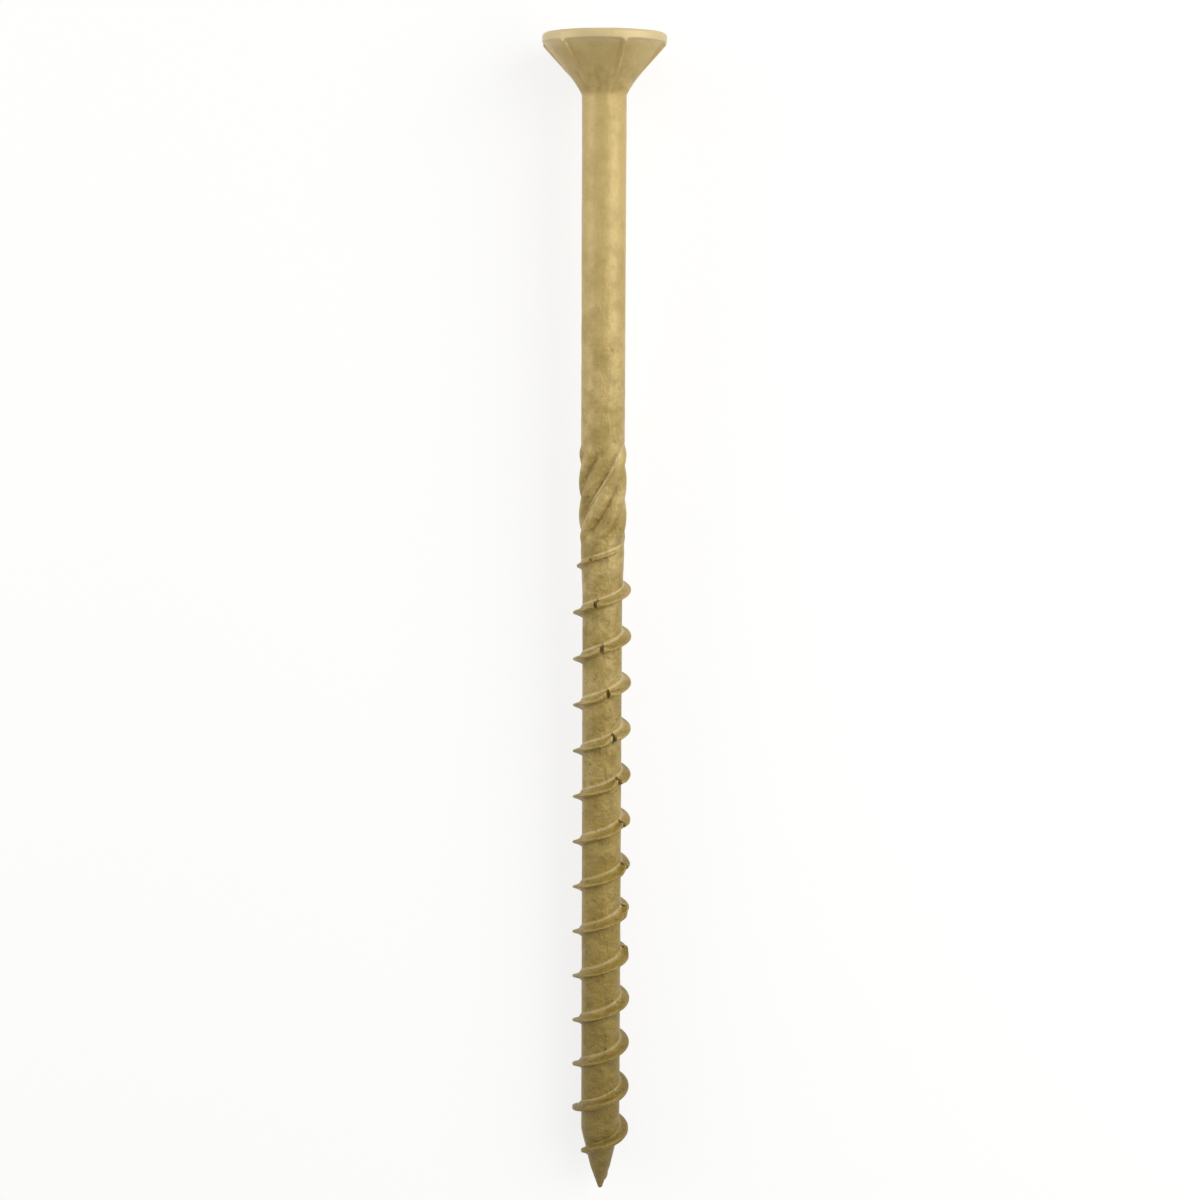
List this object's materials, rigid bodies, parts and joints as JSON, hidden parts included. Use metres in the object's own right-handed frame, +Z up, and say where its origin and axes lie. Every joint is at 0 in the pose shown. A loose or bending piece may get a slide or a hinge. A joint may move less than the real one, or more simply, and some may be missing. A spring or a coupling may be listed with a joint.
{
  "type": "countersunk head screw",
  "caption": "Long partially threaded wood screw with a ribbed countersunk head, lobed drive recess, shank cutter, notched coarse thread and sharp point, yellow finish.",
  "frame": {"origin": "middle of the footprint, on the surface that the screw lies on", "axes": "+Y runs along the screw towards its head, +Z is up from the surface, +X is to the right with the head away from the viewer"},
  "size_m": [0.0122, 0.1202, 0.0123],
  "materials": {
    "coated_steel": "satin pale gold zinc and wax coating on hardened steel"
  },
  "bodies": {
    "root": {"countersunk_screw": "coated_steel"}
  },
  "joints": []
}
